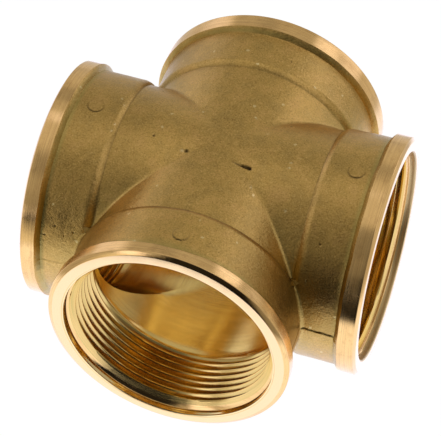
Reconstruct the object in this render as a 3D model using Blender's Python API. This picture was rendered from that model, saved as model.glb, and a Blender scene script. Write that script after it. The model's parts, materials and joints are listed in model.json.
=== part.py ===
"""Brass pipe cross: four internally threaded ports of equal size, one piece.

A hot-pressed body of two equal tubes that cross at right angles.  Each port
has a slightly thicker socket, a rounded pressed shoulder, a turned collar, an
edge bevel, a countersunk mouth and a right-hand parallel pipe thread (G 2).
The front port points along -Y, the right one along +X, and the origin is the
point where the two bore axes cross.
"""
import math

import bmesh
import bpy
from mathutils import Matrix, Vector

MM = 0.001

# ---------------------------------------------------------------- dimensions
HALF_RUN = 50.0 * MM            # centre to each end face

# G 2 parallel pipe thread, 11 threads per inch, 55 degree form
PITCH = 25.4 * MM / 11.0
THREAD_DEPTH = 0.640327 * PITCH
MAJOR_R = 59.614 * MM / 2.0
MINOR_R = MAJOR_R - THREAD_DEPTH
FLANK_ANGLE = math.radians(27.5)
ROOT_FLAT = 0.30 * MM           # flat at the bottom of a groove
HALF_ROOT = ROOT_FLAT / 2.0
HALF_FOOT = HALF_ROOT + THREAD_DEPTH * math.tan(FLANK_ANGLE)  # at the groove's opening
THREAD_LENGTH = 19.7 * MM       # end face to the end of the last groove
THREAD_START = HALF_RUN + 1.5 * PITCH   # the helix starts outside the end face
THREAD_RUN_OUT = 0.6            # turns over which the groove fades at each end
TAP_OVERHANG = 2.0 * PITCH      # plain part of the tap beyond the helix start
TAP_OVERLAP = 0.5 * MM          # how far the tap reaches into the plain bore

BORE_R = 28.5 * MM              # the plain bore between the threads
BORE_END = 29.0 * MM            # where the bore meets the thread's core
MOUTH_R = 31.0 * MM             # inner edge of the end face
LIP_R = 30.5 * MM               # steep lip first, then a 45 degree countersink
LIP_DEPTH = 1.25 * MM
CONE_START = HALF_RUN - LIP_DEPTH - (LIP_R - MINOR_R)
CONE_OVERLAP = 0.5 * MM         # the cone goes on inside the thread's core

TUBE_R = 32.4 * MM              # pressed tube near the crossing
SOCKET_R = 33.5 * MM            # thicker wall around the threads
COLLAR_R = 35.3 * MM            # turned collar
STEP_START = 29.5 * MM          # tube to socket ramp, from the centre
STEP_END = 31.6 * MM
SHOULDER_START = 43.3 * MM      # rounded pressed shoulder behind the collar
COLLAR_START = 45.1 * MM
BEVEL_WIDTH = 1.3 * MM          # turned bevel round the face, measured on it
BEVEL_DEPTH = 0.75 * MM         # and along the arm

# fillet where two tubes meet
CROTCH_FILLET = 2.2 * MM
CROTCH_FILLET_SEGMENTS = 3
CROTCH_MIN_FOLD = math.radians(24.0)
CROTCH_NEAREST = 10.0 * MM      # range of the crease's distance from the Z axis
CROTCH_FARTHEST = 49.0 * MM

STEP_SEGMENTS = 3               # along the tube to socket ramp
OUTER_SEGMENTS = 40             # around a tube
THREAD_SEGMENTS = 24            # around one turn of the thread and of the bore

SMOOTH_ANGLE = math.radians(30.0)   # sharper edges are shaded sharp

# tolerances of the mesh work, in metres
LATHE_MERGE = 1e-6
CROTCH_MERGE = 2e-6
CREASE_TOLERANCE = 1e-5         # offset from the diagonal, and shortest edge
GRID_PER_METRE = 1e7

# (share of the shoulder's length, share of its rise):
# concave at the start, convex at the end
SHOULDER_CURVE = ((0.0, 0.06), (0.45, 0.45), (0.80, 0.84))

# Profiles are (distance from the centre, radius), from the inside outwards.
BORE_PROFILE = [(BORE_END, BORE_R)]
MOUTH_PROFILE = [
    (0.4 * HALF_RUN, 0.6 * MINOR_R),        # clear of the wall, inside the bore
    (CONE_START - CONE_OVERLAP, MINOR_R - CONE_OVERLAP),
    (HALF_RUN - LIP_DEPTH, LIP_R),
    (HALF_RUN + LIP_DEPTH, 2.0 * MOUTH_R - LIP_R),   # the lip, carried on outside
]


def outer_profile():
    """Profile of one arm's outside, from the crossing to the end face."""
    points = []
    # smooth ramp up to the socket
    for i in range(STEP_SEGMENTS + 1):
        share = i / STEP_SEGMENTS
        ease = share * share * (3.0 - 2.0 * share)
        points.append((STEP_START + (STEP_END - STEP_START) * share,
                       TUBE_R + (SOCKET_R - TUBE_R) * ease))
    for along, up in SHOULDER_CURVE:
        points.append((SHOULDER_START + along * (COLLAR_START - SHOULDER_START),
                       SOCKET_R + up * (COLLAR_R - SOCKET_R)))
    points += [(COLLAR_START, COLLAR_R),
               (HALF_RUN - BEVEL_DEPTH, COLLAR_R),
               (HALF_RUN, COLLAR_R - BEVEL_WIDTH)]
    return points


# ------------------------------------------------------------ shared helpers
def to_object(name, builder):
    """Turn a bmesh into an object in the scene."""
    # a fine grid makes mirrored points equal to the last digit
    for vert in builder.verts:
        vert.co = Vector([round(c * GRID_PER_METRE) / GRID_PER_METRE for c in vert.co])
    bmesh.ops.recalc_face_normals(builder, faces=builder.faces)
    mesh = bpy.data.meshes.new(name)
    builder.to_mesh(mesh)
    builder.free()
    obj = bpy.data.objects.new(name, mesh)
    bpy.context.scene.collection.objects.link(obj)
    return obj


def lathe(name, half_profile, segments, phase=0.0):
    """Closed solid of revolution about X, the same on both sides of x = 0."""
    side = [Vector((distance, 0.0, radius)) for distance, radius in half_profile]
    outline = side[::-1] + [Vector((-p.x, 0.0, p.z)) for p in side]
    builder = bmesh.new()
    verts = [builder.verts.new(p) for p in outline]
    edges = [builder.edges.new(pair) for pair in zip(verts, verts[1:])]
    bmesh.ops.rotate(builder, verts=verts, cent=(0, 0, 0),
                     matrix=Matrix.Rotation(phase, 3, 'X'))
    bmesh.ops.spin(builder, geom=verts + edges, cent=(0, 0, 0), axis=(1, 0, 0),
                   angle=math.tau, steps=segments, use_merge=True)
    bmesh.ops.remove_doubles(builder, verts=builder.verts, dist=LATHE_MERGE)
    rims = [edge for edge in builder.edges if edge.is_boundary]
    bmesh.ops.holes_fill(builder, edges=rims, sides=0)
    return to_object(name, builder)


def quarter_turns(obj, count):
    """Turn the object's own mesh about Z by whole quarter turns, exactly."""
    quarter = Matrix(((0, -1, 0, 0), (1, 0, 0, 0), (0, 0, 1, 0), (0, 0, 0, 1)))
    for _ in range(count):
        obj.data.transform(quarter)


def boolean(obj, other, operation):
    mod = obj.modifiers.new(operation.lower() + "_" + other.name, 'BOOLEAN')
    mod.object = other
    mod.operation = operation
    mod.solver = 'EXACT'


def cut(obj, cutter, turns):
    """Turn the cutter to its place, hide it from renders and subtract it."""
    quarter_turns(cutter, turns)
    cutter.hide_render = True
    cutter.display_type = 'WIRE'
    boolean(obj, cutter, 'DIFFERENCE')


def bake(obj):
    """Replace the object's mesh with its evaluated one, modifiers applied."""
    bpy.context.view_layer.update()
    graph = bpy.context.evaluated_depsgraph_get()
    mesh = bpy.data.meshes.new_from_object(obj.evaluated_get(graph))
    obj.modifiers.clear()
    obj.data = mesh


# --------------------------------------------------------------------- body
def is_crotch_crease(edge):
    """True for a well folded edge in one of the planes x = +-y."""
    if len(edge.link_faces) != 2 or edge.calc_length() < CREASE_TOLERANCE:
        return False
    if any(abs(abs(vert.co.x) - abs(vert.co.y)) >= CREASE_TOLERANCE
           for vert in edge.verts):
        return False
    middle = (edge.verts[0].co + edge.verts[1].co) / 2.0
    if not CROTCH_NEAREST <= middle.xy.length <= CROTCH_FARTHEST:
        return False
    return abs(edge.calc_face_angle_signed(0.0)) > CROTCH_MIN_FOLD


def round_crotches(obj):
    """Fillet the four creases where the tubes meet.

    Near the top and the bottom of the crossing the two tubes are tangent, so
    the crease has almost no fold there and is left as it is.
    """
    builder = bmesh.new()
    builder.from_mesh(obj.data)
    bmesh.ops.remove_doubles(builder, verts=builder.verts, dist=CROTCH_MERGE)
    creases = [edge for edge in builder.edges if is_crotch_crease(edge)]
    bmesh.ops.bevel(builder, geom=creases, offset=CROTCH_FILLET,
                    offset_type='OFFSET', segments=CROTCH_FILLET_SEGMENTS,
                    profile=0.5, affect='EDGES', clamp_overlap=True)
    bmesh.ops.remove_doubles(builder, verts=builder.verts, dist=CROTCH_MERGE)
    bmesh.ops.recalc_face_normals(builder, faces=builder.faces)
    builder.to_mesh(obj.data)
    builder.free()


def crossed_tubes():
    """Solid body: one run along X joined with the same run along Y."""
    body = lathe("cross_body", outer_profile(), OUTER_SEGMENTS)
    run_y = lathe("run_y", outer_profile(), OUTER_SEGMENTS)
    quarter_turns(run_y, 1)
    boolean(body, run_y, 'UNION')
    bake(body)
    bpy.data.objects.remove(run_y, do_unlink=True)
    round_crotches(body)
    return body


# ------------------------------------------------- bores and countersinks
def cut_bores_and_mouths(body):
    """Each cutter serves both ends of a run."""
    half_step = math.pi / THREAD_SEGMENTS
    for kind, profile, phase in (("bore", BORE_PROFILE, 0.0),
                                 ("mouth", MOUTH_PROFILE, half_step)):
        for turns, axis in enumerate("xy"):
            cutter = lathe(kind + "_" + axis, profile, THREAD_SEGMENTS, phase)
            cut(body, cutter, turns)


# ------------------------------------------------------------------ threads
def helix_point(builder, step, x, radius):
    """Vertex about the X axis; the angle runs from +Z towards +Y."""
    angle = math.tau * step / THREAD_SEGMENTS
    return builder.verts.new((x, radius * math.sin(angle), radius * math.cos(angle)))


def close_tap_end(builder, sections, first, column, x):
    """Join one turn of the groove's edge to a plain ring at x, and cap it.

    The turn starts at section `first`; column 0 is the groove's outward edge
    and column 3 its inward one.
    """
    ring = [helix_point(builder, first + k, x, MINOR_R) for k in range(THREAD_SEGMENTS)]
    for k in range(THREAD_SEGMENTS):
        edge_start = sections[first + k][column]
        edge_end = sections[first + k + 1][column]
        ring_start = ring[k]
        ring_end = ring[(k + 1) % THREAD_SEGMENTS]
        # the helix's end section lies on an edge of one face
        if column == 0 and k == THREAD_SEGMENTS - 1:
            face = [ring_start, edge_start, edge_end] + sections[0][::-1] + [ring_end]
        elif column == 3 and k == 0:
            face = [ring_end, edge_end, edge_start] + sections[-1] + [ring_start]
        else:
            face = [ring_start, edge_start, edge_end, ring_end]
        builder.faces.new(face)
    builder.faces.new(ring)


def tap(name):
    """Closed tap-shaped body that cuts one port's thread, along +X.

    Each step along the helix has four points, two on the crests and two at
    the bottom of the groove.  The groove is joined to the next turn by the
    crest between them.  It starts and fades in outside the end face, and
    fades out at the inner end.
    """
    steps = int(round((THREAD_START - (HALF_RUN - THREAD_LENGTH)) / PITCH * THREAD_SEGMENTS))
    fade = int(round(THREAD_RUN_OUT * THREAD_SEGMENTS))
    builder = bmesh.new()

    sections = []
    for i in range(steps + 1):
        # inwards along -X while turning from +Z to +Y: a right-hand helix
        x = THREAD_START - PITCH * i / THREAD_SEGMENTS
        root_r = MINOR_R + THREAD_DEPTH * min(1.0, i / fade, (steps - i) / fade)
        sections.append([helix_point(builder, i, x + offset, radius)
                         for offset, radius in ((HALF_FOOT, MINOR_R),
                                                (HALF_ROOT, root_r),
                                                (-HALF_ROOT, root_r),
                                                (-HALF_FOOT, MINOR_R))])
    # the groove's two flanks and its root
    for here, ahead in zip(sections, sections[1:]):
        for k in range(3):
            builder.faces.new((here[k], here[k + 1], ahead[k + 1], ahead[k]))
    # the crest between neighbouring turns
    for i in range(steps - THREAD_SEGMENTS):
        j = i + THREAD_SEGMENTS
        builder.faces.new((sections[i][3], sections[j][0],
                           sections[j + 1][0], sections[i + 1][3]))
    close_tap_end(builder, sections, first=0, column=0,
                  x=THREAD_START + TAP_OVERHANG)
    close_tap_end(builder, sections, first=steps - THREAD_SEGMENTS, column=3,
                  x=BORE_END - TAP_OVERLAP)
    return to_object(name, builder)


def cut_threads(body):
    for turns, port in enumerate(("right", "back", "left", "front")):
        cut(body, tap("tap_" + port), turns)


# ----------------------------------------------------------------- material
def brass_material():
    """Pressed brass with a dull, warm, slightly oxidised skin."""
    mat = bpy.data.materials.new("pressed_brass")
    mat.use_nodes = True
    shader = mat.node_tree.nodes["Principled BSDF"]
    shader.inputs["Base Color"].default_value = (0.42, 0.27, 0.10, 1.0)
    shader.inputs["Roughness"].default_value = 0.48
    shader.inputs["Metallic"].default_value = 1.0
    return mat


def finish(body):
    body.data.materials.clear()
    body.data.materials.append(brass_material())
    body.data.shade_smooth()
    body.data.set_sharp_from_angle(angle=SMOOTH_ANGLE)


# -------------------------------------------------------------------- build
for old in list(bpy.data.objects):
    bpy.data.objects.remove(old, do_unlink=True)

cross_body = crossed_tubes()
cut_bores_and_mouths(cross_body)
cut_threads(cross_body)
finish(cross_body)
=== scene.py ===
"""Looks of the brass pipe cross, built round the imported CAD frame.

The visible body is one closed mesh: four arms that share their edges on the
planes x = +-y, each with a pressed skin, a turned collar, a bevel, an end
face, a countersink, a rounded pipe thread and the smooth crossing bore.
Work is done in millimetres and turned to metres at the end.
"""
import json
import math

import bpy
import numpy as np
from mathutils import Matrix, Vector


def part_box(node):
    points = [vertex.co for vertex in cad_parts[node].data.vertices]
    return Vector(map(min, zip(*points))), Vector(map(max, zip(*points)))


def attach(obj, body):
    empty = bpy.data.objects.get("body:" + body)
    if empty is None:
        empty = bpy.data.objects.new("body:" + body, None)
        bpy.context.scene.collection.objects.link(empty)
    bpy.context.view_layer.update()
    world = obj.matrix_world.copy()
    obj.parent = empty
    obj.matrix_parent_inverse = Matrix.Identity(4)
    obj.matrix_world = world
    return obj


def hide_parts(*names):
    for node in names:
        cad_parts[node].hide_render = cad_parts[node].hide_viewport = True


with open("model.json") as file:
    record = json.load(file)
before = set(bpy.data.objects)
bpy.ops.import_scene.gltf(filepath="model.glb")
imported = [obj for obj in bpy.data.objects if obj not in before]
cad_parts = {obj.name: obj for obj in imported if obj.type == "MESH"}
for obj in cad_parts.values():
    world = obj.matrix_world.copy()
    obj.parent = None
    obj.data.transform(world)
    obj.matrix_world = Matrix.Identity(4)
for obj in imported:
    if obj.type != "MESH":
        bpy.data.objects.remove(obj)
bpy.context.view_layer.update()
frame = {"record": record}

node_lo, node_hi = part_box("cross_body")
MM = 0.001

# ------------------------------------------------------------ sizes from CAD
L = node_hi.x / MM                       # half run, 50
COLLAR_R = node_hi.z / MM                # turned collar, 35.3
mount = {m["name"]: m for m in frame["record"]["mounts"]}
assert abs(mount["front_port_face"]["pos_m"][1] / MM + L) < 1e-3

PITCH = 25.4 / 11.0
DEPTH = 0.640327 * PITCH
MINOR_R = 59.614 / 2.0 - DEPTH
MOUTH_R = 31.0                           # inner edge of the end face
WALL_R = 30.85                           # short relief bore behind a broken edge
BREAK = 0.42                             # width of the broken edge
SHELF_R, SHELF_DEPTH = 30.0, 2.75        # foot of the 120 degree shelf behind it
SHELF_SLOPE = math.tan(math.radians(30.0))
BORE_R = 28.5
TUBE_R = 32.4
SOCKET_R = 33.5
STEP_FOOT, STEP_TOP = 29.5, 31.6         # tube to socket
SHOULDER_FOOT = 43.3                     # pressed shoulder behind the collar
THREAD_IN = 19.7                         # depth of the thread from the face
BEVEL_WIDTH, BEVEL_DEPTH = 1.3, 0.75

FILLET = 1.35                            # crotch fillet radius
ZONE = 37.4                              # rows are planes of constant d beyond
N_OUT = 240                              # columns round an arm, outside
N_IN = 120                               # columns round a bore
ROWS_INNER = 20                          # rows from the crease to the step
STEP_ROWS = (29.2, 29.42, 29.56, 29.8, 30.15, 30.6, 31.05, 31.5, 31.9, 32.7,
             33.8, 35.0, 36.2, ZONE)


def ramp(a, b, x):
    t = np.clip((x - a) / (b - a), 0.0, 1.0)
    return t * t * (3.0 - 2.0 * t)


# ---------------------------------------------------------------- 3-D noise
class Noise:
    """Smooth gradient noise on a lattice, the same on every run."""

    def __init__(self, seed):
        rng = np.random.default_rng(seed)
        self.perm = rng.permutation(256)
        g = rng.normal(size=(256, 3))
        self.grad = g / np.linalg.norm(g, axis=1)[:, None]

    def __call__(self, p):
        p = np.asarray(p, float)
        c = np.floor(p).astype(int)
        f = p - c
        w = f * f * f * (f * (f * 6 - 15) + 10)
        out = np.zeros(len(p))
        for dx in (0, 1):
            for dy in (0, 1):
                for dz in (0, 1):
                    h = self.perm[(c[:, 0] + dx) & 255]
                    h = self.perm[(h + c[:, 1] + dy) & 255]
                    h = self.perm[(h + c[:, 2] + dz) & 255]
                    g = self.grad[h]
                    d = f - (dx, dy, dz)
                    k = ((w[:, 0] if dx else 1 - w[:, 0])
                         * (w[:, 1] if dy else 1 - w[:, 1])
                         * (w[:, 2] if dz else 1 - w[:, 2]))
                    out += k * (g * d).sum(1)
        return out * 1.6


# --------------------------------------------------------- outer shape rules
def cast_r(d):
    """Radius of the pressed skin at distance d along an arm.  The step and
    the shoulder have a sharp foot and a rounded top."""
    d = np.asarray(d, float)
    step = np.clip((d - STEP_FOOT) / (STEP_TOP - STEP_FOOT), 0.0, 1.0)
    shoulder = np.clip((d - SHOULDER_FOOT) / 1.9, 0.0, 1.0)
    return (TUBE_R + (SOCKET_R - TUBE_R) * (1.0 - (1.0 - step) ** 1.6)
            + 0.12 * ramp(33.0, 41.0, d)
            + 2.05 * (1.0 - (1.0 - shoulder) ** 1.5))


def round_union(a, b, k):
    h = np.maximum(k - np.abs(a - b), 0.0) / np.maximum(k, 1e-9)
    return np.minimum(a, b) - h * h * k * 0.25


def fillet_k(nz2):
    """Blend width for a rolling fillet, from the cosine between the tubes."""
    fold = np.arccos(np.clip(nz2, -1.0, 1.0))
    return 4.0 * FILLET * (1.0 - np.cos(fold / 2.0))


def outside(d, theta, r):
    """Signed gap to the rounded union of both runs, in local arm axes."""
    y, z = r * np.sin(theta), r * np.cos(theta)
    other = np.hypot(d, z)
    k = fillet_k(z * z / np.maximum(r * other, 1e-9))
    return round_union(r - cast_r(d), other - cast_r(np.abs(y)), k)


def solve_r(d, theta):
    lo, hi = cast_r(d) - 0.01, cast_r(d) + 4.0
    for _ in range(34):
        mid = 0.5 * (lo + hi)
        out = outside(d, theta, mid) > 0
        hi = np.where(out, mid, hi)
        lo = np.where(out, lo, mid)
    return 0.5 * (lo + hi)


def solve_crease(theta):
    """Radius on the diagonal plane, where d = |y|."""
    s = np.abs(np.sin(theta))
    lo, hi = np.full_like(theta, TUBE_R - 0.5), np.full_like(theta, 39.0)
    for _ in range(40):
        mid = 0.5 * (lo + hi)
        out = outside(s * mid, theta, mid) > 0
        hi = np.where(out, mid, hi)
        lo = np.where(out, lo, mid)
    return 0.5 * (lo + hi)


def columns(n):
    """n angles, symmetric about 0 and pi, closer together at +-90 degrees,
    where the two halves of the pressing die met."""
    fine = np.linspace(0.0, np.pi / 2, 4001)
    density = 1.0 + 3.0 * np.exp(-((fine - np.pi / 2) / math.radians(2.5)) ** 2)
    total = np.concatenate([[0.0], np.cumsum(0.5 * (density[1:] + density[:-1]))])
    quarter = np.interp(np.linspace(0, total[-1], n // 4 + 1), total, fine)
    half = np.concatenate([quarter, np.pi - quarter[-2::-1]])
    return np.concatenate([half, 2 * np.pi - half[-2:0:-1]])


# ------------------------------------------------------------- mesh assembly
class Build:
    """Collects points with their own coordinates on the surface: s runs along
    the profile from the crossing to the face and back in, t runs round."""

    def __init__(self):
        self.verts, self.s, self.t, self.cast = [], [], [], []
        self.deep = []
        self.faces, self.mats = [], []
        self.count = 0
        self.port = 0

    def ring(self, d, r, theta, s, cast=0.0, deep=0.0):
        d, r, theta = np.broadcast_arrays(np.asarray(d, float),
                                          np.asarray(r, float), theta)
        y, z = r * np.sin(theta), r * np.cos(theta)
        p = {0: (d, y, z), 1: (-y, d, z), 2: (-d, -y, z), 3: (y, -d, z)}[self.port]
        n = len(theta)
        self.verts.append(np.stack(p, 1))
        self.s.append(np.broadcast_to(s, (n,)).astype(float))
        self.t.append(theta * r)
        self.cast.append(np.broadcast_to(cast, (n,)).astype(float))
        self.deep.append(np.broadcast_to(deep, (n,)).astype(float))
        first = self.count
        self.count += n
        return np.arange(first, first + n)

    def face(self, mat, *idx):
        self.faces.append(tuple(int(i) for i in idx))
        self.mats.append(mat)

    def band(self, a, b, mat):
        n = len(a)
        for i in range(n):
            j = (i + 1) % n
            self.face(mat, a[i], a[j], b[j], b[i])

    def zip(self, a, ta, b, tb, mat):
        """Triangles between two rings whose angles differ."""
        i = j = 0
        na, nb = len(a), len(b)
        while i < na or j < nb:
            next_a = ta[i + 1] if i + 1 < na else 2 * np.pi + ta[0]
            next_b = tb[j + 1] if j + 1 < nb else 2 * np.pi + tb[0]
            if j >= nb or (i < na and next_a <= next_b):
                self.face(mat, a[i % na], a[(i + 1) % na], b[j % nb])
                i += 1
            else:
                self.face(mat, a[i % na], b[(j + 1) % nb], b[j % nb])
                j += 1


CAST, TURNED, THREAD, BORE = 0, 1, 2, 3
theta_out = columns(N_OUT)
theta_in = np.arange(N_IN) * (2 * np.pi / N_IN)

# how far each arm's pressed shoulder lies from its turned collar, towards the
# face: (mean, swing, the angle it swings to, extra bump on top)
ARM_SHIFT = {0: (0.20, 0.16, 0.3, 0.10), 1: (-0.45, 0.22, 0.6, 0.0),
             2: (0.50, 0.12, 2.0, 0.0), 3: (1.22, 0.15, 3.1, 0.55)}


def arm_shift(port, theta):
    mean, swing, where, bump = ARM_SHIFT[port]
    off = (theta + np.pi) % (2 * np.pi) - np.pi
    return (mean + swing * np.cos(theta - where) + bump * np.exp(-(off / 0.27) ** 2)
            + 0.05 * np.sin(7 * theta + port) + 0.045 * np.sin(13 * theta + 2.1 * port)
            + 0.035 * np.sin(29 * theta + 0.7 * port))


def arm_cast_r(port, d, theta):
    return cast_r(d - arm_shift(port, theta) * ramp(ZONE, 41.5, d))


def thread_profile(u):
    """0 on a crest, 1 at the bottom of the groove, u in pitches."""
    tri = 1.0 - np.abs(2.0 * (u % 1.0) - 1.0)
    return np.clip((tri - 1 / 6) / (2 / 3), 0.0, 1.0)


def wall_radius(port, theta):
    """The relief bore sits a little off the arm's axis."""
    turn = {0: 1.9, 1: 4.4, 2: 0.7, 3: math.radians(175)}[port]
    return (WALL_R + 0.30 * np.cos(theta - turn)
            + 0.15 * np.cos(2 * (theta - turn)))


THREAD_U = np.array([0.06, 0.15, 0.37, 0.45, 0.55, 0.63, 0.85, 0.94])
K = len(THREAD_U)

b = Build()
for port in range(4):
    b.port = port
    # pressed skin, from the crease to the collar
    r = solve_crease(theta_out)
    d0 = r * np.abs(np.sin(theta_out))
    last = b.ring(d0, r, theta_out, d0, 1.0)
    fixed = [d0 + (STEP_ROWS[0] - d0) * (i / ROWS_INNER)
             for i in range(1, ROWS_INNER + 1)]
    fixed += [np.full(N_OUT, d) for d in STEP_ROWS[1:]]
    follow = ramp(STEP_ROWS[0] - 2.0, STEP_ROWS[0] - 8.0, d0)
    for i, d in enumerate(fixed):
        even = d0 + (ZONE - d0) * ((i + 1) / len(fixed))
        d = even + (d - even) * follow
        row = b.ring(d, solve_r(d, theta_out), theta_out, d, 1.0)
        b.band(last, row, CAST)
        last = row
    lo, hi = np.full(N_OUT, 41.0), np.full(N_OUT, 48.0)
    for _ in range(40):
        mid = 0.5 * (lo + hi)
        under = arm_cast_r(port, mid, theta_out) < COLLAR_R
        lo, hi = np.where(under, mid, lo), np.where(under, hi, mid)
    edge = 0.5 * (lo + hi)
    foot = SHOULDER_FOOT + arm_shift(port, theta_out)
    rows = [ZONE + (foot - 0.15 - ZONE) * w for w in (0.2, 0.4, 0.6, 0.8, 1.0)]
    rows += [foot + (edge - foot) * w for w in (0.02, 0.18, 0.38, 0.60, 0.82, 1.0)]
    for i, d in enumerate(rows):
        r = arm_cast_r(port, d, theta_out)
        if i == len(rows) - 1:
            r = np.full(N_OUT, COLLAR_R)
        row = b.ring(d, r, theta_out, d, 1.0 - ramp(edge - 0.9, edge - 0.05, d))
        b.band(last, row, CAST)
        last = row
    # turned collar, bevel and face
    start, end = edge, L - BEVEL_DEPTH
    profile = [(start + 0.10, COLLAR_R)]
    profile += [(start + (end - 0.16 - start) * w, COLLAR_R) for w in (0.35, 0.7, 1.0)]
    profile += [(end - 0.05, COLLAR_R - 0.01), (end + 0.03, COLLAR_R - 0.07)]
    for w in (0.14, 0.5, 0.90):
        profile.append((end + BEVEL_DEPTH * w, COLLAR_R - BEVEL_WIDTH * w))
    profile += [(L - 0.015, COLLAR_R - BEVEL_WIDTH - 0.02),
                (L, COLLAR_R - BEVEL_WIDTH - 0.10)]
    for d, r in profile:
        s = d + (COLLAR_R - r)
        row = b.ring(d, r, theta_out, s)
        b.band(last, row, TURNED)
        last = row
    # face ring, broken edge, relief bore and the shelf down to the thread
    wall = wall_radius(port, theta_in)
    inner = b.ring(L, wall + BREAK + 0.35, theta_in,
                   L + COLLAR_R - MOUTH_R - 0.35)
    b.zip(last, theta_out, inner, theta_in, TURNED)
    foot = SHELF_DEPTH - SHELF_SLOPE * (wall - SHELF_R)
    for depth, r in ((0.0, wall + BREAK + 0.06), (0.02, wall + BREAK),
                     (0.12, wall + BREAK * 0.52), (0.23, wall + BREAK * 0.05),
                     (0.29, wall), (0.9, wall - 0.02),
                     (foot - 0.07, wall - 0.04), (foot, wall - 0.09),
                     (foot + 0.05, wall - 0.17),
                     (0.5 * (foot + SHELF_DEPTH), 0.5 * (wall + SHELF_R)),
                     (SHELF_DEPTH, SHELF_R)):
        row = b.ring(L - depth, r, theta_in, L + COLLAR_R - MOUTH_R + depth)
        b.band(inner, row, TURNED)
        inner = row
    mouth_d = L - SHELF_DEPTH

    # thread: every column holds the points of the helix that lie inside
    x0 = L + PITCH
    x_end = L - THREAD_IN - 0.6
    end_ring = b.ring(x_end, MINOR_R, theta_in, 2 * L + 5.0 - x_end)
    total_turns = (x0 - x_end) / PITCH
    g_all = np.arange(int(total_turns + 2) * K)
    base_turn = g_all // K + THREAD_U[g_all % K]
    column = []
    for c in range(N_IN):
        turn = base_turn + c / N_IN
        x = x0 - PITCH * turn
        keep = (x < mouth_d - 0.08) & (x > x_end + 0.06)
        x, g, tn = x[keep], g_all[keep], turn[keep]
        fade = np.clip((total_turns - 0.15 - tn) / 0.8, 0.0, 1.0)
        r = MINOR_R + DEPTH * thread_profile(base_turn[keep]) * fade
        cone = SHELF_R - (mouth_d - x) / SHELF_SLOPE
        r = np.maximum(r, cone)
        deep = np.clip((r - np.maximum(MINOR_R, cone)) / DEPTH, 0.0, 1.0) ** 1.5
        idx = b.ring(x, r, np.full(len(x), theta_in[c]), 2 * L + 5.0 - x,
                     deep=deep)
        column.append(dict(zip(g.tolist(), idx.tolist())))
    for c in range(N_IN):
        nxt, step = (c + 1, 0) if c + 1 < N_IN else (0, K)
        A = column[c]
        B = {g - step: v for g, v in column[nxt].items()}
        cn = (c + 1) % N_IN
        both = sorted(set(A) & set(B))
        for g in both[:-1]:
            b.face(THREAD, A[g], B[g], B[g + 1], A[g + 1])
        # at the mouth and at the end one column may hold a point more
        top, low = both[0], both[-1]
        extra = [B[g] for g in sorted(B) if g < top]
        extra_a = [A[g] for g in sorted(A) if g < top]
        b.face(THREAD, *( [inner[c]] + extra_a + [A[top], B[top]] + extra[::-1]
                          + [inner[cn]] ))
        extra = [B[g] for g in sorted(B) if g > low]
        extra_a = [A[g] for g in sorted(A) if g > low]
        b.face(THREAD, *( [end_ring[c]] + extra_a[::-1] + [A[low], B[low]] + extra
                          + [end_ring[cn]] ))
    # plain bore to the crossing
    groin = BORE_R * np.abs(np.sin(theta_in))
    last = b.ring(x_end - 0.25, BORE_R, theta_in, 2 * L + 5.3 - x_end)
    b.band(end_ring, last, BORE)
    first_d = x_end - 0.25
    ROWS_BORE = 9
    for i in range(1, ROWS_BORE + 1):
        d = first_d + (groin - first_d) * (i / ROWS_BORE)
        row = b.ring(d, BORE_R, theta_in, 2 * L + 5.0 - d)
        b.band(last, row, BORE)
        last = row

# ------------------------------------------------ weld, orient, make the mesh
pts = np.concatenate(b.verts)
key = np.round(pts * 1000.0 + 0.123).astype(np.int64)
_, first, inverse = np.unique(key, axis=0, return_index=True, return_inverse=True)
inverse = inverse.ravel()
faces, mats = [], []
for f, m in zip(b.faces, b.mats):
    g = [int(inverse[i]) for i in f]
    g = [v for i, v in enumerate(g) if v != g[i - 1]]
    if len(g) > 2:
        faces.append(g)
        mats.append(m)
mesh = bpy.data.meshes.new("cross_casting")
mesh.from_pydata((pts[first] * MM).tolist(), [], faces)
mesh.polygons.foreach_set("material_index", np.array(mats, np.int32))
for name, values in (("s_mm", b.s), ("t_mm", b.t), ("cast", b.cast),
                     ("deep", b.deep)):
    attr = mesh.attributes.new(name, 'FLOAT', 'POINT')
    attr.data.foreach_set("value", np.concatenate(values)[first].astype(np.float32))
import bmesh
bm = bmesh.new()
bm.from_mesh(mesh)
bmesh.ops.recalc_face_normals(bm, faces=bm.faces)
open_edges = [e for e in bm.edges if len(e.link_faces) != 2]
print("MESH verts", len(bm.verts), "faces", len(bm.faces), "open", len(open_edges),
      "volume cm3", bm.calc_volume() * 1e6,
      "tris", sum(len(f.verts) - 2 for f in bm.faces))
bm.to_mesh(mesh)
bm.free()
mesh.update()
# ------------------------------------------ marks of pressing and of handling
# (x, y, radius, height): ejector pins left a slightly raised, tilted round pad
PINS = [(39.1, -1.75, 2.25, 0.24), (-38.0, -0.5, 2.25, 0.12),
        (0.75, -39.25, 2.15, 0.28)]
# (start, end, half width at each end, depth at each end): gouges
GOUGES = [((5.0, -7.75, 31.9), (10.25, -8.0, 31.1), 0.22, 0.75, 0.12, 0.60),
          ((-5.5, 6.6, 31.9), (-2.6, 6.0, 32.1), 0.18, 0.22, 0.10, 0.16)]
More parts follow.
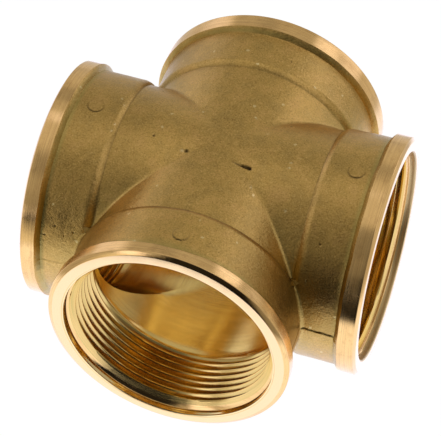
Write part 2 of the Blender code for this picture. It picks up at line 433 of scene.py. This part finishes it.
# (x, y, z, radius, depth): pits, negative depths are raised grains
PITS = [(-19.1, -5.0, 32.1, 0.45, 0.30), (38.75, -28.0, 16.5, 0.80, 0.30),
        (36.05, -27.6, 17.2, 0.55, 0.24), (35.2, -23.0, 24.4, 0.45, 0.22),
        (33.6, -29.6, 15.8, 0.45, 0.20), (-9.85, -7.6, 31.25, 0.8, -0.20),
        (-8.6, -7.3, 31.4, 0.9, 0.18),
        (-39.8, -30.7, 13.6, 0.50, 0.22), (-36.9, -31.5, 11.3, 0.32, 0.14),
        (-34.2, -30.9, 12.9, 0.40, 0.16), (-42.6, -31.9, 10.4, 0.40, 0.20),
        (-30.0, -31.1, 10.3, 0.42, 0.16),
        (16.0, 13.0, 29.7, 0.35, 0.14), (28.5, 21.5, 24.5, 0.35, 0.12),
        (-24.0, 17.0, 27.6, 0.35, 0.14), (9.0, 36.0, 32.4, 0.35, 0.12)]
# small bruises with a polished spot
NICKS = [(12.35, -13.65, 29.85, 0.55), (13.6, -15.7, 29.05, 0.65),
         (11.1, 6.0, 31.35, 0.75), (-41.5, -30.45, 11.4, 0.8),
         (-30.9, 2.6, 32.6, 0.75), (-30.9, -7.5, 32.2, 0.5),
         (-30.7, -5.0, 32.7, 0.4), (12.2, 33.2, 30.4, 0.6),
         (14.75, 38.05, 29.6, 0.55), (20.6, -3.2, 32.2, 0.45),
         (20.9, -5.0, 31.9, 0.45), (23.4, -17.0, 27.6, 0.5),
         (6.0, 11.0, 31.8, 0.5), (-11.6, 8.4, 31.6, 0.5),
         (17.6, 31.6, 28.5, 0.45), (18.4, 30.2, 28.3, 0.4)]


def refine(m):
    """Splits the skin's faces round each mark, so that its edge is crisp."""
    spots = [(Vector((x, y, 33.5)), r + 0.5, 2) for x, y, r, h in PINS]
    for a, e, w0, w1, h0, h1 in GOUGES:
        a, e = Vector(a), Vector(e)
        n = int((e - a).length / 1.2) + 1
        spots += [(a.lerp(e, i / n), 1.3, 2) for i in range(n + 1)]
    spots += [(Vector(p[:3]), p[3] + 0.35, 2 if p[3] > 0.5 else 2) for p in PITS]
    spots += [(Vector(p[:3]), p[3] + 0.25, 1) for p in NICKS]
    bm = bmesh.new()
    bm.from_mesh(m)
    for level in (1, 2):
        hit = set()
        faces = [f for f in bm.faces if f.material_index == CAST]
        mid = np.array([f.calc_center_median() for f in faces]) / MM
        for centre, radius, depth in spots:
            if depth < level:
                continue
            flat = np.array(centre)
            gap = np.linalg.norm(mid - flat, axis=1)
            for i in np.nonzero(gap < radius + 0.7 / level)[0]:
                hit.add(int(i))
        edges = {e for i in hit for e in faces[i].edges}
        bmesh.ops.subdivide_edges(bm, edges=sorted(edges, key=lambda e: e.index),
                                  cuts=1, use_grid_fill=True)
        bm.faces.index_update()
        bm.edges.index_update()
    bmesh.ops.triangulate(bm, faces=[f for f in bm.faces
                                     if f.material_index == CAST and len(f.verts) > 4])
    bm.to_mesh(m)
    bm.free()
    m.update()


refine(mesh)
print("MESH refined tris", sum(len(p.vertices) - 2 for p in mesh.polygons))
count = len(mesh.vertices)
co = np.zeros(count * 3)
mesh.vertices.foreach_get("co", co)
co = co.reshape(-1, 3) / MM
normal = np.zeros(count * 3)
mesh.vertices.foreach_get("normal", normal)
normal = normal.reshape(-1, 3)
cast = np.zeros(count)
mesh.attributes["cast"].data.foreach_get("value", cast)

relief = (0.085 * Noise(3)(co / 11.0) + 0.040 * Noise(5)(co / 4.2)
          + 0.026 * Noise(7)(co / 1.9))
shade_and_dirt, shine = np.zeros(count), np.zeros(count)
x, y, z = co.T

for cx, cy, radius, height in PINS:
    rho = np.hypot(x - cx, y - cy)
    near = z > 28.0
    slope = 0.5 - 0.5 * np.clip((y - cy) / radius, -1, 1)
    wall = ramp(radius + 0.14, radius - 0.10, rho) * near
    relief += height * slope * wall
    relief *= 1.0 - 0.7 * wall
    relief += 0.7 * height * slope * wall
    # painted shadow: a dark rim round each pad, strongest on its -y side
    rim = np.exp(-((rho - radius - 0.10) / 0.20) ** 2) * near
    shade_and_dirt = np.maximum(shade_and_dirt, rim * (0.08 + 1.00 * slope ** 2))
for a, e, w0, w1, h0, h1 in GOUGES:
    a, e = np.array(a), np.array(e)
    span = e - a
    u = np.clip(((co - a) @ span) / (span @ span), 0.0, 1.0)
    gap = np.linalg.norm(co - (a + u[:, None] * span), axis=1)
    width = w0 + (w1 - w0) * u
    cut = np.clip(1.0 - gap / width, 0.0, 1.0)
    relief -= (h0 + (h1 - h0) * u) * cut ** 0.7
    shade_and_dirt = np.maximum(shade_and_dirt, ramp(0.0, 0.45, cut) * (0.45 + 0.55 * u))
for px_, py_, pz_, radius, depth in PITS:
    gap = np.linalg.norm(co - (px_, py_, pz_), axis=1)
    dent = ramp(radius, radius * 0.35, gap)
    relief -= depth * dent
    if depth > 0:
        shade_and_dirt = np.maximum(shade_and_dirt, 0.9 * dent)
    else:
        shine = np.maximum(shine, 0.6 * dent)
for i, (px_, py_, pz_, radius) in enumerate(NICKS):
    gap = np.linalg.norm(co - (px_, py_, pz_), axis=1)
    dent = ramp(radius, radius * 0.3, gap)
    relief += 0.10 * dent * np.sin(5.0 * (x + y) + i)
    shine = np.maximum(shine, dent)

# parting line: the lower half stands a little proud of the upper one
arm_x = np.abs(x) > np.abs(y)
along = np.where(arm_x, x, y)
across = np.where(arm_x, y, x)
d_arm = np.abs(along)
right_near = arm_x & (x > 0) & (y < 0)
left_near = arm_x & (x < 0) & (y < 0)
line = 0.5 * np.sin(d_arm * 0.31 + along * 0.05) + 0.25 * np.sin(d_arm * 0.93 + 1.0)
line = np.where(right_near, 0.45 + 0.12 * np.sin(d_arm * 1.3)
                - 1.65 * ramp(43.0, 44.4, d_arm), line)
line = np.where(left_near, 1.25 + 0.45 * ramp(46.0, 34.0, d_arm)
                + 0.10 * np.sin(d_arm * 1.1), line)
proud = np.where(right_near, 0.26, np.where(left_near, 0.10, 0.12))
on_side = ramp(26.0, 30.0, np.abs(across)) * cast
lower = ramp(line + 0.10, line - 0.10, z)
side_on = np.clip(np.abs(normal[:, 2]) * -1.0 + 1.0, 0.0, 1.0) ** 2
relief_side = proud * lower * side_on * on_side
crack = np.exp(-((z - line - 0.10) / 0.16) ** 2) * on_side
relief_side -= 0.10 * crack * (proud / 0.26)
# painted shadow in the groove along the parting line
shade_and_dirt = np.maximum(shade_and_dirt, crack * np.where(right_near, 0.95,
                                         np.where(left_near, 0.45, 0.5)))
# painted shade along the foot of the step
step_foot_shade = np.exp(-((d_arm - STEP_FOOT - 0.05) / 0.22) ** 2) * cast
shade_and_dirt = np.maximum(shade_and_dirt, 0.36 * step_foot_shade)

# painted shade low on the right arm, where its pits are
gap = np.linalg.norm((co - (37.0, -28.5, 14.5)) / (1.0, 1.0, 1.1), axis=1)
painted_shade = 0.62 * ramp(14.0, 4.0, gap + 2.0 * Noise(11)(co / 5.0)) * cast
# painted shade on the front of the right arm, on the left arm
# and on the left part of the back arm
side_shade = np.maximum.reduce([0.24 * ramp(12.0, 22.0, x) * ramp(-5.0, -17.0, y) * ramp(-4.0, 6.0, z),
                           0.12 * ramp(-14.0, -26.0, x) * ramp(6.0, 16.0, z),
                           0.14 * ramp(16.0, 28.0, y) * ramp(-2.0, -14.0, x)])
painted_shade = np.maximum(painted_shade, side_shade * cast)
# and painted shade as a dark streak in the left arm's step
streak = np.exp(-((d_arm - STEP_FOOT + 0.15) / 0.55) ** 2) * ramp(27.0, 20.0, z)
painted_shade = np.maximum(painted_shade, 0.8 * streak * (left_near & (z > 4.0)) * cast)

co = co + normal * ((relief + relief_side) * cast)[:, None]
mesh.vertices.foreach_set("co", (co * MM).ravel())
deep = np.zeros(count)
mesh.attributes["deep"].data.foreach_get("value", deep)
# the hollows, where no tool reached, have a greener film
hollow = np.exp(-((np.abs(x) - np.abs(y)) / 6.0) ** 2) * ramp(29.0, 20.0, np.abs(z))
flank = ramp(42.9, 43.6, d_arm) * cast
hollow = np.maximum.reduce([0.20 * hollow * cast, 0.50 * flank, 0.85 * deep])
# painted shade on the lower part of the left arm's shoulder, near side
painted_shade = np.maximum(painted_shade, 0.70 * flank * (left_near & (z > -3.0)) * ramp(25.0, 16.0, z))
# 0.45 * deep lays painted shade into the thread's grooves
for name, values in (("shade_and_dirt", shade_and_dirt * cast + 0.45 * deep), ("shine", shine * cast),
                     ("painted_shade", painted_shade), ("hollow", hollow)):
    attr = mesh.attributes.new(name, 'FLOAT', 'POINT')
    attr.data.foreach_set("value", values.astype(np.float32))

# direction across the tool marks: along the arm on a collar or in a bore,
# towards the middle on an end face
which = np.where(arm_x, 0, 1)
axis = np.zeros((count, 3))
axis[np.arange(count), which] = np.sign(along)
radial = co.copy()
radial[np.arange(count), which] = 0.0
radial /= np.maximum(np.linalg.norm(radial, axis=1), 1e-6)[:, None]
grain = 0.6 * axis - radial
attr = mesh.attributes.new("along", 'FLOAT_VECTOR', 'POINT')
attr.data.foreach_set("vector", grain.astype(np.float32).ravel())

# sharp where the skin ends, along the groins of the bores and at the bevel
mesh.shade_smooth()
bm = bmesh.new()
bm.from_mesh(mesh)
for e in bm.edges:
    f, g = e.link_faces[0], e.link_faces[1]
    turned_edge = (f.material_index != g.material_index
                   and CAST in (f.material_index, g.material_index))
    if turned_edge or e.calc_face_angle(0.0) > math.radians(38):
        e.smooth = False
bm.to_mesh(mesh)
bm.free()
mesh.update()

body = bpy.data.objects.new("cross_casting", mesh)
bpy.context.scene.collection.objects.link(body)


# ------------------------------------------------------------------ materials
def srgb(r, g, b_):
    def lin(c):
        c /= 255.0
        return c / 12.92 if c <= 0.04045 else ((c + 0.055) / 1.055) ** 2.4
    return (lin(r), lin(g), lin(b_), 1.0)


class Nodes:
    """Small helper that adds nodes and links to one material."""

    def __init__(self, name):
        self.mat = bpy.data.materials.new(name)
        self.mat.use_nodes = True
        self.tree = self.mat.node_tree
        self.shader = self.tree.nodes["Principled BSDF"]

    def put(self, socket, value):
        if isinstance(value, bpy.types.NodeSocket):
            self.tree.links.new(value, socket)
        elif value is not None:
            socket.default_value = value

    def attr(self, name):
        n = self.tree.nodes.new("ShaderNodeAttribute")
        n.attribute_name = name
        return n.outputs["Fac"]

    def math(self, op, a, b_=None, c=None, clamp=False):
        n = self.tree.nodes.new("ShaderNodeMath")
        n.operation = op
        n.use_clamp = clamp
        for i, v in enumerate((a, b_, c)):
            self.put(n.inputs[i], v)
        return n.outputs[0]

    def coords(self):
        return self.tree.nodes.new("ShaderNodeTexCoord").outputs["Object"]

    def vector(self, x, y, z):
        n = self.tree.nodes.new("ShaderNodeCombineXYZ")
        for i, v in enumerate((x, y, z)):
            self.put(n.inputs[i], v)
        return n.outputs[0]

    def noise(self, vec, scale, detail=2.0, rough=0.5):
        n = self.tree.nodes.new("ShaderNodeTexNoise")
        self.put(n.inputs["Vector"], vec)
        n.inputs["Scale"].default_value = scale
        n.inputs["Detail"].default_value = detail
        n.inputs["Roughness"].default_value = rough
        return n.outputs["Fac"]

    def voronoi(self, vec, scale, feature='F1', rand=1.0):
        n = self.tree.nodes.new("ShaderNodeTexVoronoi")
        n.feature = feature
        self.put(n.inputs["Vector"], vec)
        n.inputs["Scale"].default_value = scale
        n.inputs["Randomness"].default_value = rand
        return n.outputs["Distance"], n.outputs["Color"]

    def ramp(self, fac, stops, interp='LINEAR'):
        n = self.tree.nodes.new("ShaderNodeValToRGB")
        n.color_ramp.interpolation = interp
        while len(n.color_ramp.elements) < len(stops):
            n.color_ramp.elements.new(0.5)
        for e, (pos, col) in zip(n.color_ramp.elements, stops):
            e.position = pos
            e.color = col if isinstance(col, tuple) else (col, col, col, 1.0)
        self.put(n.inputs["Fac"], fac)
        return n.outputs["Color"]

    def mix(self, fac, a, b_, mode='MIX'):
        n = self.tree.nodes.new("ShaderNodeMix")
        n.data_type = 'RGBA'
        n.blend_type = mode
        n.clamp_factor = True
        self.put(n.inputs["Factor"], fac)
        self.put([i for i in n.inputs if i.identifier == "A_Color"][0], a)
        self.put([i for i in n.inputs if i.identifier == "B_Color"][0], b_)
        return [o for o in n.outputs if o.identifier == "Result_Color"][0]

    def bump(self, height, strength, distance, normal=None):
        n = self.tree.nodes.new("ShaderNodeBump")
        n.inputs["Strength"].default_value = strength
        n.inputs["Distance"].default_value = distance
        self.put(n.inputs["Height"], height)
        self.put(n.inputs["Normal"], normal)
        return n.outputs["Normal"]

    def finish(self, color, rough, normal, metallic=1.0, **more):
        self.put(self.shader.inputs["Base Color"], color)
        self.put(self.shader.inputs["Roughness"], rough)
        self.put(self.shader.inputs["Metallic"], metallic)
        self.put(self.shader.inputs["Normal"], normal)
        for k, v in more.items():
            self.put(self.shader.inputs[k], v)
        return self.mat


def pressed_skin():
    """Shot-blasted pressed brass: fine grain, speckle and dull patches."""
    n = Nodes("pressed_brass_skin")
    p = n.coords()
    patches = n.noise(p, 48.0, 4.0, 0.6)
    cloud = n.noise(p, 190.0, 3.0, 0.6)
    grain = n.noise(p, 2300.0, 3.0, 0.65)
    speck = n.noise(p, 1500.0, 2.0, 0.6)
    base = n.ramp(patches, [(0.32, SKIN_A), (0.68, SKIN_B)])
    base = n.mix(n.ramp(cloud, [(0.34, 0.32), (0.52, 0.0)]), base, SKIN_DULL)
    base = n.mix(n.ramp(cloud, [(0.50, 0.0), (0.70, 0.45)]), base, SKIN_PINK)
    base = n.mix(n.ramp(grain, [(0.34, 0.55), (0.48, 0.0)]), base, SKIN_DARK)
    base = n.mix(n.ramp(grain, [(0.54, 0.0), (0.72, 0.6)]), base, SKIN_LIGHT)
    base = n.mix(n.ramp(speck, [(0.64, 0.0), (0.78, 0.4)]), base, SKIN_DARK)
    worn = n.math('MULTIPLY', n.attr("shine"), n.ramp(grain, [(0.35, 0.2), (0.6, 1.0)]))
    base = n.mix(worn, base, srgb(255, 232, 170))
    # sparse small scuffs
    gap, cell = n.voronoi(p, 190.0)
    gap = n.math('ADD', gap, n.math('MULTIPLY', n.math('SUBTRACT', speck, 0.5), 0.22))
    scuff = n.math('MULTIPLY', n.math('LESS_THAN', gap, 0.085),
                   n.math('GREATER_THAN', cell, 0.54))
    base = n.mix(n.math('MULTIPLY', scuff, 0.55), base, srgb(250, 226, 160))
    # painted shade: a darker brown laid on the shaded parts of the arms
    base = n.mix(n.attr("painted_shade"), base, srgb(96, 72, 34))
    # painted shade along the step foot, the parting line and round the pads; gouges and pits are
    # darkened as well
    base = n.mix(n.attr("shade_and_dirt"), base, srgb(38, 26, 12))
    base = n.mix(n.attr("hollow"), base, srgb(176, 160, 88))
    rough = n.math('ADD', n.ramp(patches, [(0.3, 0.31), (0.7, 0.38)]),
                   n.math('MULTIPLY', n.math('SUBTRACT', grain, 0.5), 0.25))
    rough = n.math('SUBTRACT', rough, n.math('MULTIPLY', worn, 0.22))
    dents = n.voronoi(p, 1500.0)[0]
    normal = n.bump(grain, 0.50, 0.00012)
    normal = n.bump(dents, 0.30, 0.00010, normal)
    normal = n.bump(n.noise(p, 520.0, 2.0, 0.5), 0.30, 0.0003, normal)
    return n.finish(base, rough, normal)


def turned(name, tone_a, tone_b, groove, rough_a, rough_b, strength, pitch=3.2,
           stretch=0.6, mirror=False, ripple=0.04, shade_and_dirt=(0.16, 0.08, 0.02, 1.0),
           edge=(1.0, 1.0, 1.0, 1.0)):
    """Lathe-turned brass: lines run round the arm, at right angles to s, and
    the sheen is smeared across them."""
    n = Nodes(name)
    s, t = n.attr("s_mm"), n.attr("t_mm")
    p = n.coords()
    lines = n.noise(n.vector(n.math('MULTIPLY', s, pitch),
                             n.math('MULTIPLY', t, 0.03), 0.0), 1.0, 3.0, 0.6)
    fine = n.noise(n.vector(n.math('MULTIPLY', s, pitch * 4.0),
                            n.math('MULTIPLY', t, 0.06), 3.0), 1.0, 2.0, 0.6)
    broad = n.noise(n.vector(n.math('MULTIPLY', s, 0.5),
                             n.math('MULTIPLY', t, 0.06), 5.0), 1.0, 2.0, 0.5)
    smear = n.noise(p, 160.0, 3.0, 0.6)
    color = n.mix(n.ramp(broad, [(0.35, 0.0), (0.65, 1.0)]), tone_a, tone_b)
    color = n.mix(n.ramp(lines, [(0.34, 0.55), (0.52, 0.0)]), color, groove)
    color = n.mix(n.ramp(fine, [(0.32, 0.35), (0.50, 0.0)]), color, groove)
    rough = n.math('ADD', n.ramp(smear, [(0.3, rough_a), (0.7, rough_b)]),
                   n.math('MULTIPLY', n.math('SUBTRACT', lines, 0.5), 0.10))
    if mirror:
        # handling marks on the collar
        blotch = n.noise(n.vector(n.math('MULTIPLY', s, 0.55),
                                  n.math('MULTIPLY', t, 0.30), 9.0), 1.0, 3.0, 0.65)
        color = n.mix(n.ramp(blotch, [(0.52, 0.0), (0.68, 0.40)]), color, groove)
        # the end face gets a paler tone: painted highlight, the whitened look of its reflection
        # of the bright floor
        on_face = n.math('MULTIPLY',
                         n.math('GREATER_THAN', s, L + BEVEL_WIDTH + 0.02),
                         n.math('LESS_THAN', s, L + COLLAR_R - MOUTH_R - 0.1))
        color = n.mix(on_face, color, (1.0, 0.68, 0.33, 1.0))
        # the bevel and the mouth were cut with a finishing tool: a mirror
        on_bevel = n.math('MULTIPLY',
                          n.math('GREATER_THAN', s, L - BEVEL_DEPTH + 0.02),
                          n.math('LESS_THAN', s, L + BEVEL_WIDTH))
        in_mouth = n.math('MULTIPLY',
                          n.math('GREATER_THAN', s, L + COLLAR_R - MOUTH_R + 0.05),
                          n.math('LESS_THAN', s, L + 9.0))
        on_wall = n.math('MULTIPLY', in_mouth,
                         n.math('LESS_THAN', s, L + COLLAR_R - MOUTH_R + 1.95))
        color = n.mix(on_wall, color, (0.93, 0.70, 0.32, 1.0))
        # the right port's own wall is rougher, with a darker tone that is painted shade
        at_right = n.tree.nodes.new("ShaderNodeSeparateXYZ")
        n.put(at_right.inputs[0], p)
        at_right = n.math('GREATER_THAN', at_right.outputs["X"], (L - 3.5) * MM)
        dull = n.math('MULTIPLY', on_wall, at_right)
        color = n.mix(dull, color, (0.60, 0.42, 0.18, 1.0))
        on_bevel = n.math('ADD', on_bevel, in_mouth, clamp=True)
        rough = n.math('SUBTRACT', rough, n.math('MULTIPLY', on_bevel, rough_a - 0.05))
        rough = n.math('MAXIMUM', rough, 0.05)
        rough = n.math('ADD', rough, n.math('MULTIPLY', dull, 0.30))
        stretch = n.math('SUBTRACT', stretch, n.math('MULTIPLY', on_bevel, stretch))
    normal = n.bump(lines, strength, 0.00005)
    normal = n.bump(smear, ripple, 0.0004, normal)
    # painted shade, darkest at the groove bottoms of the thread
    color = n.mix(n.attr("shade_and_dirt"), color, shade_and_dirt)
    across = n.tree.nodes.new("ShaderNodeAttribute")
    across.attribute_name = "along"
    n.shader.inputs["Specular Tint"].default_value = edge
    return n.finish(color, rough, normal, Anisotropic=stretch,
                    Tangent=across.outputs["Vector"])


SKIN_A, SKIN_B = srgb(197, 158, 84), srgb(212, 170, 90)
SKIN_DULL, SKIN_PINK = srgb(173, 142, 80), srgb(220, 173, 102)
SKIN_DARK, SKIN_LIGHT = srgb(148, 110, 54), srgb(246, 204, 124)
mesh.materials.append(pressed_skin())
mesh.materials.append(turned("turned_brass", (1.0, 0.63, 0.235, 1.0),
                             (0.93, 0.57, 0.205, 1.0), (0.60, 0.34, 0.12, 1.0),
                             0.14, 0.24, 0.30, mirror=True, stretch=0.75))
mesh.materials.append(turned("threaded_brass", (0.83, 0.55, 0.19, 1.0),
                             (0.76, 0.50, 0.16, 1.0), (0.57, 0.43, 0.13, 1.0),
                             0.14, 0.20, 0.20, pitch=2.4, stretch=0.3,
                             shade_and_dirt=(0.34, 0.27, 0.08, 1.0), edge=(0.95, 0.70, 0.36, 1.0)))
mesh.materials.append(turned("bored_brass", (0.93, 0.68, 0.24, 1.0),
                             (0.89, 0.64, 0.21, 1.0), (0.69, 0.46, 0.15, 1.0),
                             0.17, 0.23, 0.40, pitch=3.4, stretch=0.85, ripple=0.012,
                             edge=(0.97, 0.72, 0.36, 1.0)))

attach(body, "root")
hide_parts("cross_body")

# -------------------------------------------------------------------- studio
scene = bpy.context.scene
floor_z = node_lo.z - 0.0002


def stage_mesh(name, corners, material):
    m = bpy.data.meshes.new(name)
    m.from_pydata(corners, [], [(0, 1, 2, 3)])
    m.materials.append(material)
    obj = bpy.data.objects.new(name, m)
    scene.collection.objects.link(obj)
    return obj


FLOOR_NEAR, FLOOR_SEEN = (1.15, 1.23, 1.58, 1.0), 1.0
# far part of the table: (azimuth from -Y towards +X, brightness)
FLOOR_FAR = [(-62, 0.60), (-44, 0.45), (-35, 0.80), (-27, 0.90), (-19, 0.16), (-14, 0.0),
             (25, 0.0), (29, 0.25), (38, 0.28), (52, 0.55), (120, 0.62)]


def pale_floor():
    """White sweep that glows a little.  The camera sees it evenly white; in
    reflections it ends softly, as a small shooting table does."""
    n = Nodes("pale_floor")
    p = n.coords()
    dist = n.tree.nodes.new("ShaderNodeVectorMath")
    dist.operation = 'LENGTH'
    n.put(dist.inputs[0], p)
    split = n.tree.nodes.new("ShaderNodeSeparateXYZ")
    n.put(split.inputs[0], p)
    turn = n.math('ARCTAN2', split.outputs["X"],
                  n.math('MULTIPLY', split.outputs["Y"], -1.0))
    turn = n.math('ADD', n.math('MULTIPLY', turn, 0.5 / math.pi), 0.5)
    outer = n.ramp(turn, [(0.5 + az / 360.0, v) for az, v in FLOOR_FAR])
    reach = n.ramp(dist.outputs["Value"], [(0.130, 0.0), (0.165, 1.0)])
    far = n.mix(reach, FLOOR_NEAR, outer)
    path = n.tree.nodes.new("ShaderNodeLightPath")
    glow = n.mix(path.outputs["Is Camera Ray"], far, (FLOOR_SEEN,) * 3 + (1.0,))
    n.put(n.shader.inputs["Base Color"], (0.02, 0.02, 0.02, 1.0))
    n.put(n.shader.inputs["Roughness"], 1.0)
    n.put(n.shader.inputs["Specular IOR Level"], 0.0)
    n.put(n.shader.inputs["Emission Color"], glow)
    n.put(n.shader.inputs["Emission Strength"], 1.0)
    return n.mat


floor = stage_mesh("floor", [(-3, -3, floor_z), (3, -3, floor_z), (3, 3, floor_z),
                             (-3, 3, floor_z)], pale_floor())

# Soft tent.  Each patch is (azimuth from -Y towards +X, elevation, radius of
# the even part, radius where it ends, brightness), in degrees.
TENT = 0.44
PATCHES = [
    (0.0, 90.0, 14.0, 40.0, 0.60),       # roof
    (-90.0, 32.0, 12.0, 28.0, 0.90),     # side lamp, left
    (79.0, 50.0, 12.0, 26.0, 0.90),      # side lamp, right
    (144.0, 8.0, 9.0, 15.0, 1.10),       # window, back right, lower part
    (141.5, 34.0, 7.5, 12.8, 1.28),      # and its bright upper part
    (-130.0, 12.0, 10.0, 16.5, 0.90),    # window, back left
    (-128.0, 68.0, 2.0, 8.0, 0.97),      # small lamp above it
    (-172.0, 20.0, 10.0, 24.0, 0.54),    # back of the tent
    (-158.0, 46.0, 4.0, 12.0, 0.31),     # seam of the tent
    (-2.0, 54.0, 12.0, 22.0, 0.22),      # above the camera
    (20.0, 20.0, 27.0, 38.0, 0.16),      # front of the tent
    (-17.0, 0.0, 3.5, 7.5, 0.02),        # foot of the lamp stand
    (-29.0, 4.0, 4.0, 9.0, 1.45),        # gap beside it
    (7.0, 3.0, 21.5, 25.5, 0.02),        # opening for the lens
]

world = bpy.data.worlds.new("studio")
scene.world = world
world.use_nodes = True
wt = world.node_tree
bg = wt.nodes["Background"]
coord = wt.nodes.new("ShaderNodeTexCoord")
level = None
for az, el, inner, outer, value in PATCHES:
    a, e = math.radians(az), math.radians(el)
    aim = (math.sin(a) * math.cos(e), -math.cos(a) * math.cos(e), math.sin(e))
    dot = wt.nodes.new("ShaderNodeVectorMath")
    dot.operation = 'DOT_PRODUCT'
    wt.links.new(coord.outputs["Generated"], dot.inputs[0])
    dot.inputs[1].default_value = aim
    soft = wt.nodes.new("ShaderNodeMapRange")
    soft.interpolation_type = 'SMOOTHSTEP'
    wt.links.new(dot.outputs["Value"], soft.inputs["Value"])
    soft.inputs["From Min"].default_value = math.cos(math.radians(outer))
    soft.inputs["From Max"].default_value = math.cos(math.radians(inner))
    blend = wt.nodes.new("ShaderNodeMix")
    blend.data_type = 'FLOAT'
    wt.links.new(soft.outputs["Result"], blend.inputs["Factor"])
    if level is None:
        blend.inputs["A"].default_value = TENT
    else:
        wt.links.new(level, blend.inputs["A"])
    blend.inputs["B"].default_value = value
    level = blend.outputs["Result"]
path = wt.nodes.new("ShaderNodeLightPath")
seen = wt.nodes.new("ShaderNodeMix")
seen.data_type = 'FLOAT'
wt.links.new(path.outputs["Is Camera Ray"], seen.inputs["Factor"])
wt.links.new(level, seen.inputs["A"])
seen.inputs["B"].default_value = 1.05
wt.links.new(seen.outputs["Result"], bg.inputs["Strength"])
# the lamps are a little cooler than the tent
cool = wt.nodes.new("ShaderNodeMapRange")
wt.links.new(level, cool.inputs["Value"])
cool.inputs["From Min"].default_value = 0.55
cool.inputs["From Max"].default_value = 0.95
hue = wt.nodes.new("ShaderNodeValToRGB")
hue.color_ramp.elements[0].color = (1.0, 1.0, 1.0, 1.0)
hue.color_ramp.elements[1].color = (1.0, 1.02, 1.30, 1.0)
wt.links.new(cool.outputs["Result"], hue.inputs["Fac"])
plain = wt.nodes.new("ShaderNodeMix")
plain.data_type = 'RGBA'
wt.links.new(path.outputs["Is Camera Ray"], plain.inputs["Factor"])
wt.links.new(hue.outputs["Color"], [i for i in plain.inputs if i.identifier == "A_Color"][0])
[i for i in plain.inputs if i.identifier == "B_Color"][0].default_value = (1.0, 1.0, 1.0, 1.0)
wt.links.new([o for o in plain.outputs if o.identifier == "Result_Color"][0],
             bg.inputs["Color"])

# -------------------------------------------------------------------- camera
cam = bpy.data.objects.new("camera", bpy.data.cameras.new("camera"))
cam.data.sensor_width = 36.0
cam.data.sensor_fit = 'HORIZONTAL'
# a long lens, 17.4 degrees to the right of the front port and 47.5 up
FOCAL_PX = 2053.58
cam.data.lens = FOCAL_PX / 441.0 * 36.0
cam.data.clip_start, cam.data.clip_end = 0.01, 20.0
half = L * MM
right = Vector((0.95031892, 0.31108822, 0.01086623))
down = Vector((0.23633249, -0.69835468, -0.67560913))
forward = Vector((-0.20258556, 0.64461218, -0.73717992))
rot = Matrix((right, -down, -forward)).transposed().to_4x4()
cam.matrix_world = Matrix.Translation(Vector((2.423791, -7.751063, 8.841659)) * half) @ rot
scene.collection.objects.link(cam)
scene.camera = cam
scene.view_settings.view_transform = 'Standard'
